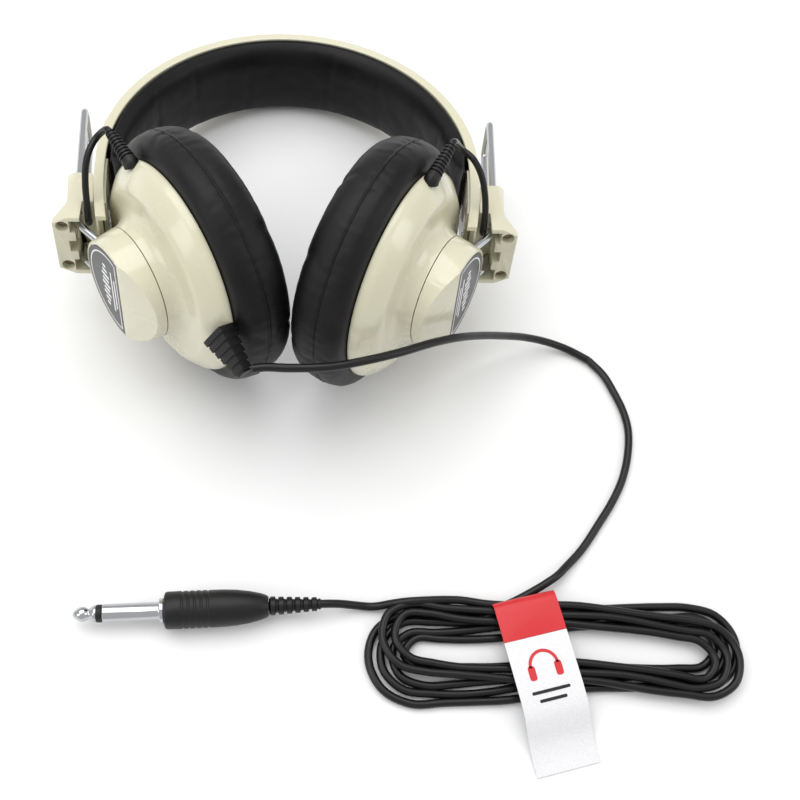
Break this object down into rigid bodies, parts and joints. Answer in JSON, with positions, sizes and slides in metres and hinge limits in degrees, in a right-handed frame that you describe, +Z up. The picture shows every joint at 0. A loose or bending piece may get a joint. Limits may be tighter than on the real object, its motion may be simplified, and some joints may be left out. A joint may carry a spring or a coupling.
{
  "type": "radio headphones",
  "caption": "Wired over-ear headphones: padded headband, ear cups on sliding wire yokes that also tilt, cord lying bundled with a tag, and a 6.35 mm plug.",
  "frame": {"origin": "middle of the headphones' footprint on the table, cord left out", "axes": "+Z up from the table, +Y from the ear cups towards the headband's crown, +X towards the right ear cup and the bundled cord's far end"},
  "size_m": [0.2502, 0.2888, 0.0921],
  "materials": {
    "ivory_plastic": "glossy moulded plastic",
    "black_vinyl": "soft grained vinyl",
    "black_rubber": "satin",
    "black_plastic": "matt",
    "bright_wire": "polished",
    "screw_steel": "plated",
    "spring_steel": "blued",
    "label_grey": "printed foil with a pale border line",
    "foam": "open foam",
    "cone_film": "thin clear amber film",
    "tag_red": "printed film",
    "tag_white": "smooth white card"
  },
  "bodies": {
    "headset": {"headband_shell": "ivory_plastic", "headband_spring": "spring_steel", "crossover_cord": "black_rubber", "headband_pad": "black_vinyl", "end_block_left": "ivory_plastic", "block_screw_upper_left": "screw_steel", "block_screw_lower_left": "screw_steel", "yoke_grip_left": "black_plastic", "clamp_plate_left": "ivory_plastic", "clamp_screw_upper_left": "screw_steel", "clamp_screw_lower_left": "screw_steel", "end_block_right": "ivory_plastic", "block_screw_upper_right": "screw_steel", "block_screw_lower_right": "screw_steel", "yoke_grip_right": "black_plastic", "clamp_plate_right": "ivory_plastic", "clamp_screw_upper_right": "screw_steel", "clamp_screw_lower_right": "screw_steel", "main_cord_run": "black_rubber", "plug_cord_run": "black_rubber", "cord_bundle": "black_rubber", "plug_tip": "bright_wire", "plug_insulator": "black_plastic", "plug_sleeve": "bright_wire", "plug_body": "black_rubber", "plug_relief": "black_rubber", "tag_band": "tag_red", "tag_tail": "tag_white"},
    "yoke_left": {"wire_yoke_left": "bright_wire"},
    "cup_left": {"cup_shell_left": "ivory_plastic", "hub_cap_left": "ivory_plastic", "hub_label_left": "label_grey", "swivel_block_left": "black_plastic", "baffle_left": "black_plastic", "driver_basket_left": "spring_steel", "driver_magnet_left": "spring_steel", "driver_cone_left": "cone_film", "driver_foam_left": "foam", "ear_cushion_left": "black_vinyl", "link_relief_left": "black_rubber", "link_cord_left": "black_rubber", "main_cord_relief": "black_rubber", "main_cord_drop": "black_rubber"},
    "yoke_right": {"wire_yoke_right": "bright_wire"},
    "cup_right": {"cup_shell_right": "ivory_plastic", "hub_cap_right": "ivory_plastic", "hub_label_right": "label_grey", "swivel_block_right": "black_plastic", "baffle_right": "black_plastic", "driver_basket_right": "spring_steel", "driver_magnet_right": "spring_steel", "driver_cone_right": "cone_film", "driver_foam_right": "foam", "ear_cushion_right": "black_vinyl", "link_relief_right": "black_rubber", "link_cord_right": "black_rubber"}
  },
  "joints": [
    {"name": "yoke_left_slide", "type": "slide", "parent": "headset", "child": "yoke_left", "axis": [0.0667, -0.9615, 0.2666], "range_m": [0, 0.025], "deforming": ["main_cord_run", "main_cord_drop", "link_cord_left"]},
    {"name": "cup_left_tilt", "type": "hinge", "parent": "yoke_left", "child": "cup_left", "pos_m": [-0.06385, -0.0384, 0.04665], "axis": [0, -0.2672, -0.9636], "range_deg": [0, 15], "deforming": ["link_cord_left", "main_cord_drop"]},
    {"name": "yoke_right_slide", "type": "slide", "parent": "headset", "child": "yoke_right", "axis": [-0.0667, -0.9615, 0.2666], "range_m": [0, 0.025], "deforming": ["main_cord_drop", "link_cord_right"]},
    {"name": "cup_right_tilt", "type": "hinge", "parent": "yoke_right", "child": "cup_right", "pos_m": [0.06385, -0.03753, 0.04641], "axis": [0, 0.2672, 0.9636], "range_deg": [0, 15], "deforming": ["link_cord_right", "main_cord_drop"]}
  ]
}
